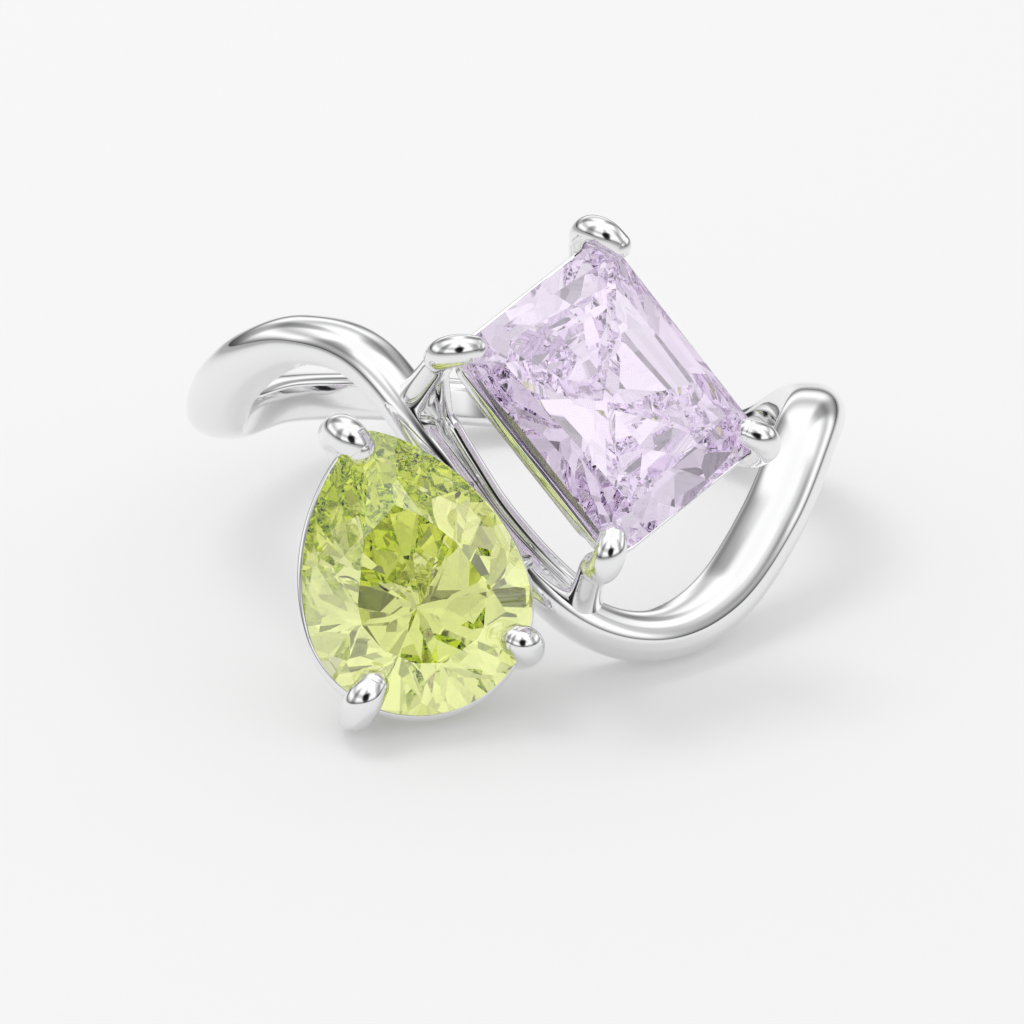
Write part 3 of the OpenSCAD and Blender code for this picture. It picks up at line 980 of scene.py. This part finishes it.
def growth_zones():
    """Group for cut stones: a value that wanders through the stone, as its colour did while it grew."""
    group = bpy.data.node_groups.new("growth_zones", "ShaderNodeTree")
    scale = group.interface.new_socket("Scale", in_out="INPUT", socket_type="NodeSocketFloat")
    scale.min_value = 0.0
    group.interface.new_socket("Zones", in_out="OUTPUT", socket_type="NodeSocketFloat")
    given = group.nodes.new("NodeGroupInput").outputs
    out = group.nodes.new("NodeGroupOutput")
    feed(group, noise(group, given["Scale"], ZONE_DETAIL), out.inputs["Zones"])
    return group


def zone_colour(tree, growth, tints, scale):
    """A colour that goes from one tint to another with the growth zones."""
    zones = tree.nodes.new("ShaderNodeGroup")
    zones.node_tree = growth
    zones.inputs["Scale"].default_value = scale
    ramp = tree.nodes.new("ShaderNodeValToRGB")
    for stop, place, tint in zip(ramp.color_ramp.elements, ZONE_EDGES, tints):
        stop.position = place
        stop.color = (*tint, 1)
    feed(tree, zones.outputs["Zones"], ramp.inputs["Fac"])
    return ramp.outputs["Color"]


def gem(name, growth, tints, zone_scale, depth_colour, depth_density, girdle_painted_shade):
    """A clear stone whose colour deepens along the light's path, with a frosted girdle that is painted dark,
    as painted shade of the gap between the stone and its rail.
    """
    material, tree, shader, output = new_material(name)
    shader.inputs["Transmission Weight"].default_value = 1.0
    shader.inputs["IOR"].default_value = GEM_IOR
    on_girdle = girdle_mask(tree)
    body = zone_colour(tree, growth, tints, zone_scale)
    # The girdle's near-black colour is painted shade, the dark gap between the stone and its rail.
    colour = mixed(tree, "MIX", on_girdle, body, (*girdle_painted_shade, 1))
    feed(tree, colour, shader.inputs["Base Color"])
    feed(tree, map_range(tree, on_girdle, high=GIRDLE_FROST), shader.inputs["Roughness"])
    depth = tree.nodes.new("ShaderNodeVolumeAbsorption")
    depth.inputs["Color"].default_value = (*depth_colour, 1)
    depth.inputs["Density"].default_value = depth_density
    feed(tree, depth.outputs["Volume"], output.inputs["Volume"])
    return material


def floor_material():
    """A pale lit floor, whose light falls off away from the ring in what the metal shows of it."""
    material, tree, shader, _ = new_material("pale_floor")
    shader.inputs["Roughness"].default_value = FLOOR_ROUGHNESS
    shader.inputs["Specular IOR Level"].default_value = 0.0
    shader.inputs["Emission Color"].default_value = WHITE
    place = tree.nodes.new("ShaderNodeTexCoord")
    away = tree.nodes.new("ShaderNodeVectorMath")
    away.operation = "LENGTH"
    feed(tree, place.outputs["Object"], away.inputs[0])
    start, end, left = FLOOR_FALLOFF
    falloff = map_range(tree, away.outputs["Value"], start, end, 1.0, left, "SMOOTHERSTEP")
    rays = tree.nodes.new("ShaderNodeLightPath")
    level = map_range(tree, rays.outputs["Is Glossy Ray"], low=1.0, high=falloff)
    feed(tree, math_node(tree, "MULTIPLY", FLOOR_SHADE, level), shader.inputs["Base Color"])
    feed(tree, math_node(tree, "MULTIPLY", FLOOR_GLOW, level), shader.inputs["Emission Strength"])
    return material


# Floor, light and camera
def floor():
    low = CAD_BOX[0][2]
    w = FLOOR_HALF_WIDTH
    mesh = bpy.data.meshes.new("floor")
    mesh.from_pydata([(-w, -w, low), (w, -w, low), (w, w, low), (-w, w, low)], [], [(0, 1, 2, 3)])
    mesh.materials.append(floor_material())
    plane = bpy.data.objects.new("floor", mesh)
    bpy.context.scene.collection.objects.link(plane)


def area_light(name, place, target, size, power):
    """A soft light that isn't mirrored in the metal or seen through the stones."""
    data = bpy.data.lights.new(name, "AREA")
    data.shape = "RECTANGLE"
    data.size, data.size_y = size
    data.energy = power
    light = bpy.data.objects.new(name, data)
    light.location = place
    light.rotation_euler = (Vector(target) - Vector(place)).to_track_quat("-Z", "Y").to_euler()
    light.visible_glossy = False
    light.visible_transmission = False
    bpy.context.scene.collection.objects.link(light)


def tent_walls(tree, height):
    """Shade of the tent's walls by their height."""
    walls = tree.nodes.new("ShaderNodeValToRGB")
    walls.color_ramp.interpolation = "B_SPLINE"
    stops = walls.color_ramp.elements
    for k, (place, shade) in enumerate(TENT_SHADES):
        stop = stops[k] if k < 2 else stops.new(place)
        stop.position = place
        stop.color = (shade, shade, shade, 1)
    feed(tree, map_range(tree, height, TENT_FROM), walls.inputs["Fac"])
    return walls.outputs["Color"]


def tent_folds(tree, x, y, height):
    """Shade of the folds round the tent, which fade away towards the top."""
    turned = math_node(tree, "ADD", math_node(tree, "ARCTAN2", x, y), FOLD_TURN)
    folds = math_node(tree, "SINE", math_node(tree, "MULTIPLY", turned, FOLDS), 0)
    depth = map_range(tree, height, *FOLD_FADE, FOLD_DEPTH * TENT_PEAK, TENT_PEAK, "SMOOTHSTEP")
    return map_range(tree, folds, *FOLD_SINE, depth, TENT_PEAK, "SMOOTHSTEP")


def towards(tree, way, reach, soft, far, near):
    """A value in a patch of the tent round a way, and another away from it."""
    place = tree.nodes.new("ShaderNodeTexCoord")
    facing = tree.nodes.new("ShaderNodeVectorMath")
    facing.operation = "DOT_PRODUCT"
    facing.inputs[1].default_value = way
    feed(tree, place.outputs["Generated"], facing.inputs[0])
    edge, rim = (math.cos(math.radians(a)) for a in (reach + soft, reach))
    return map_range(tree, facing.outputs["Value"], edge, rim, far, near, "SMOOTHSTEP")


def tent():
    """A white light tent. Things reflect its dark seam at the horizon, its folds and its opening, and the
    floor is lit by plain white."""
    world = bpy.data.worlds.new("tent")
    bpy.context.scene.world = world
    world.use_nodes = True
    tree = world.node_tree
    background = tree.nodes["Background"]
    background.inputs["Strength"].default_value = DOME_STRENGTH
    place = tree.nodes.new("ShaderNodeTexCoord")
    split = tree.nodes.new("ShaderNodeSeparateXYZ")
    feed(tree, place.outputs["Generated"], split.inputs["Vector"])
    x, y, height = (split.outputs[axis] for axis in "XYZ")

    folded = mixed(tree, "MULTIPLY", 1.0, tent_walls(tree, height), tent_folds(tree, x, y, height))
    boxed = mixed(tree, "ADD", 1.0, folded, towards(tree, SOFTBOX_WAY, *SOFTBOX))
    flagged = mixed(tree, "MULTIPLY", 1.0, boxed, towards(tree, FLAG_WAY, *FLAG))
    metal_sees = mixed(tree, "MULTIPLY", 1.0, flagged, towards(tree, OPENING_WAY, *METAL_OPENING))
    softened = mixed(tree, "MIX", STONE_CALM, folded, STONE_WALLS)
    stone_sees = mixed(tree, "MULTIPLY", 1.0, softened, towards(tree, OPENING_WAY, *STONE_OPENING))
    rays = tree.nodes.new("ShaderNodeLightPath").outputs
    seen = mixed(tree, "MIX", rays["Is Transmission Ray"], metal_sees, stone_sees)
    lit = mixed(tree, "MIX", rays["Is Diffuse Ray"], seen, WHITE)
    feed(tree, lit, background.inputs["Color"])


def light():
    tent()
    area_light("overhead", OVERHEAD_PLACE, OVERHEAD_AIM, OVERHEAD_SIZE, OVERHEAD_POWER)
    scene = bpy.context.scene
    scene.view_settings.view_transform = "Standard"
    scene.cycles.max_bounces = BOUNCES
    scene.cycles.glossy_bounces = BOUNCES
    scene.cycles.transmission_bounces = BOUNCES


def camera():
    data = bpy.data.cameras.new("camera")
    data.sensor_width = SENSOR
    data.lens = SENSOR * PIXELS_PER_RADIAN / PHOTO_SIZE
    data.clip_start = CAMERA_NEAR
    eye = bpy.data.objects.new("camera", data)
    bpy.context.scene.collection.objects.link(eye)
    az, el, roll = (math.radians(a) for a in (CAMERA_AZIMUTH, CAMERA_ELEVATION, CAMERA_ROLL))
    back = Vector((math.sin(az) * math.cos(el), -math.cos(az) * math.cos(el), math.sin(el)))
    aim = Vector(CAMERA_AIM)
    turn = back.to_track_quat("Z", "Y").to_matrix() @ Matrix.Rotation(-roll, 3, "Z")
    eye.matrix_world = Matrix.Translation((aim + back * CAMERA_DISTANCE) * MM) @ turn.to_4x4()
    bpy.context.scene.camera = eye


def ring():
    """The metal with the stones' seats cut into it, and then the stones."""
    metal = polished_metal()
    pear_cut = pear_shape()
    radiant_cut = radiant_shape()
    pear_seat = seat_cutter("pear_seat", PEAR_SEAT, pear_cut)
    radiant_seat = seat_cutter("radiant_seat", RADIANT_SEAT, radiant_cut)
    band(metal)
    pear_setting(metal, pear_seat)
    radiant_setting(metal, radiant_seat)
    for cutter in (pear_seat, radiant_seat):
        bpy.data.objects.remove(cutter)
    growth = growth_zones()
    yellow_green = gem("yellow_green_gem", growth, **YELLOW_GREEN)
    lilac = gem("lilac_gem", growth, **LILAC)
    stone_piece("pear_cut_stone", PEAR_SEAT, pear_cut, "yellow_green_stone", yellow_green, "pear_stone")
    stone_piece("radiant_cut_stone", RADIANT_SEAT, radiant_cut, "lilac_stone", lilac, "radiant_stone")


ring()
floor()
light()
camera()
